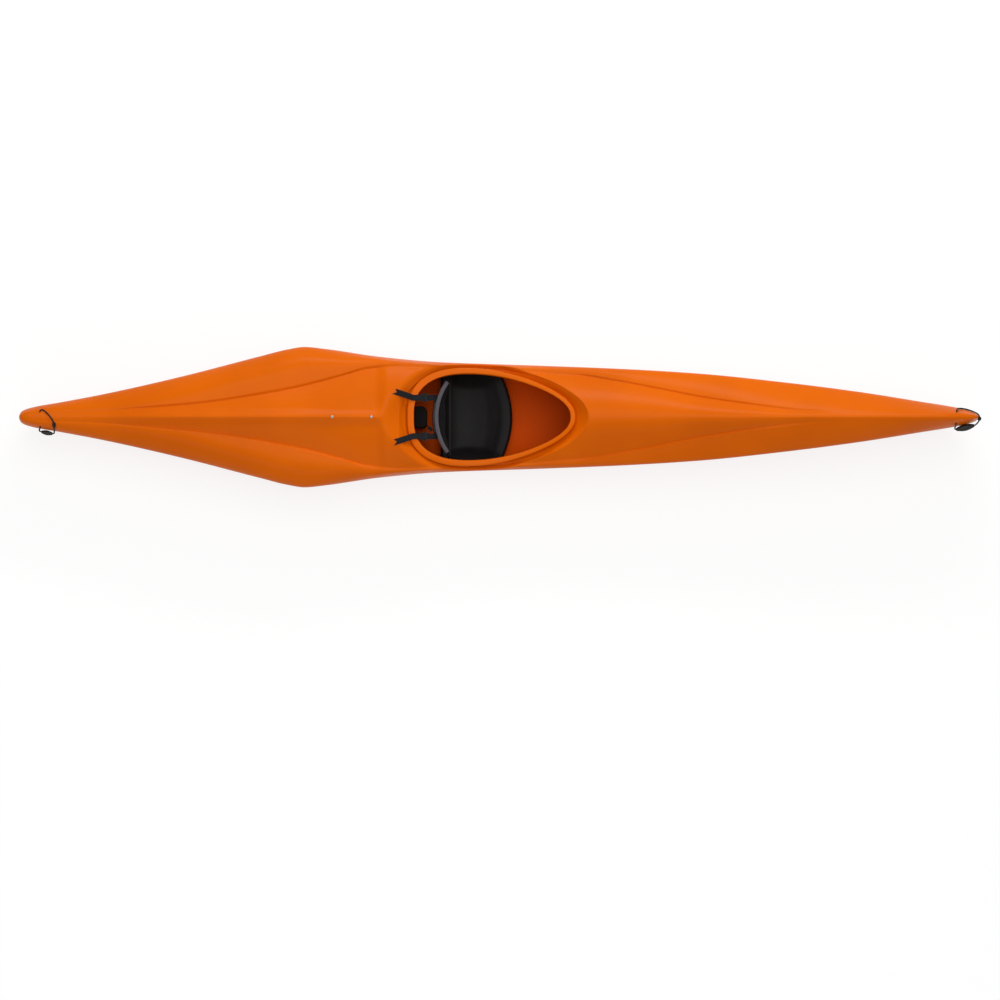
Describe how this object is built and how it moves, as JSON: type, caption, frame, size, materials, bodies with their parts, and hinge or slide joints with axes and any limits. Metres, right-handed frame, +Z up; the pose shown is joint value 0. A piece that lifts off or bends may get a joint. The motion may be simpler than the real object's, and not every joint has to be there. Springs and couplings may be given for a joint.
{
  "type": "downriver racing kayak",
  "caption": "River racing kayak: one moulded flared hull with a saddle cockpit, moulded seat, folding backband, sliding foot braces and a rope grab loop at each end.",
  "frame": {"origin": "on the keel flat, at the middle of the hull's length and beam", "axes": "+X to the bow, +Y to port, +Z up from the keel flat"},
  "size_m": [4.1025, 0.6, 0.42],
  "materials": {
    "hull_orange": "satin moulded polyethylene",
    "seat_black": "textured",
    "band_black": "satin",
    "pad_grey": "foam pad in knitted cloth",
    "strap_webbing": "woven webbing",
    "buckle_black": "satin",
    "foam_dark": "closed-cell foam",
    "rope_black": "braided rope",
    "grip_black": "smooth hose",
    "track_alloy": "anodised",
    "pedal_black": "satin",
    "bolt_steel": "stainless"
  },
  "bodies": {
    "hull": {"hull_shell": "hull_orange", "seat_pan": "seat_black", "stern_pillar": "foam_dark", "pillar_bracket": "buckle_black", "bow_pillar": "foam_dark", "deck_screw_1": "bolt_steel", "deck_screw_2": "bolt_steel", "backband_cord": "rope_black", "backband_cord_knot": "rope_black", "bow_rope": "rope_black", "bow_knot": "rope_black", "stern_rope": "rope_black", "stern_knot": "rope_black", "seat_bolt_left": "bolt_steel", "seat_spacer_left": "buckle_black", "seat_nut_left": "bolt_steel", "hinge_stud_left": "bolt_steel", "backband_strap_left": "strap_webbing", "ladder_buckle_left": "buckle_black", "buckle_tab_left": "strap_webbing", "footrest_rail_left": "track_alloy", "rail_bolt_left_1": "bolt_steel", "rail_bolt_left_2": "bolt_steel", "rail_nut_left_1": "bolt_steel", "rail_nut_left_2": "bolt_steel", "seat_bolt_right": "bolt_steel", "seat_spacer_right": "buckle_black", "seat_nut_right": "bolt_steel", "hinge_stud_right": "bolt_steel", "backband_strap_right": "strap_webbing", "ladder_buckle_right": "buckle_black", "buckle_tab_right": "strap_webbing", "footrest_rail_right": "track_alloy", "rail_bolt_right_1": "bolt_steel", "rail_bolt_right_2": "bolt_steel", "rail_nut_right_1": "bolt_steel", "rail_nut_right_2": "bolt_steel"},
    "backband": {"backband_shell": "band_black", "backband_pad": "pad_grey"},
    "bow_sleeve": {"bow_grip": "grip_black"},
    "stern_sleeve": {"stern_grip": "grip_black"},
    "pedal_left": {"footrest_pedal_left": "pedal_black", "latch_pin_left": "bolt_steel"},
    "latch_left": {"latch_lever_left": "pedal_black"},
    "pedal_right": {"footrest_pedal_right": "pedal_black", "latch_pin_right": "bolt_steel"},
    "latch_right": {"latch_lever_right": "pedal_black"}
  },
  "joints": [
    {"name": "pedal_left_slide", "type": "slide", "parent": "hull", "child": "pedal_left", "axis": [0.9939, -0.0834, 0.0727], "range_m": [-0.12, 0.12]},
    {"name": "pedal_left_latch", "type": "hinge", "parent": "pedal_left", "child": "latch_left", "pos_m": [0.88034, 0.14313, 0.15456], "axis": [-0.0925, -0.9869, 0.1321], "range_deg": [0, 15], "stiffness_Nm_per_rad": 0.05, "springref_deg": -20.05},
    {"name": "pedal_right_slide", "type": "slide", "parent": "hull", "child": "pedal_right", "axis": [0.9939, 0.0834, 0.0727], "range_m": [-0.12, 0.12]},
    {"name": "pedal_right_latch", "type": "hinge", "parent": "pedal_right", "child": "latch_right", "pos_m": [0.88034, -0.14313, 0.15456], "axis": [0.0925, -0.9869, -0.1321], "range_deg": [0, 15], "stiffness_Nm_per_rad": 0.05, "springref_deg": -20.05},
    {"name": "backband_fold", "type": "hinge", "parent": "hull", "child": "backband", "pos_m": [-0.185, 0, 0.15], "axis": [0, 1, 0], "range_deg": [0, 30]},
    {"name": "bow_grip_spin", "type": "hinge", "parent": "hull", "child": "bow_sleeve", "pos_m": [1.985, -0.045, 0.3265], "axis": [-0.9683, -0.2235, 0.1117], "continuous": true},
    {"name": "stern_grip_spin", "type": "hinge", "parent": "hull", "child": "stern_sleeve", "pos_m": [-1.93, -0.06675, 0.262], "axis": [-0.9819, 0.1894, 0], "continuous": true}
  ]
}
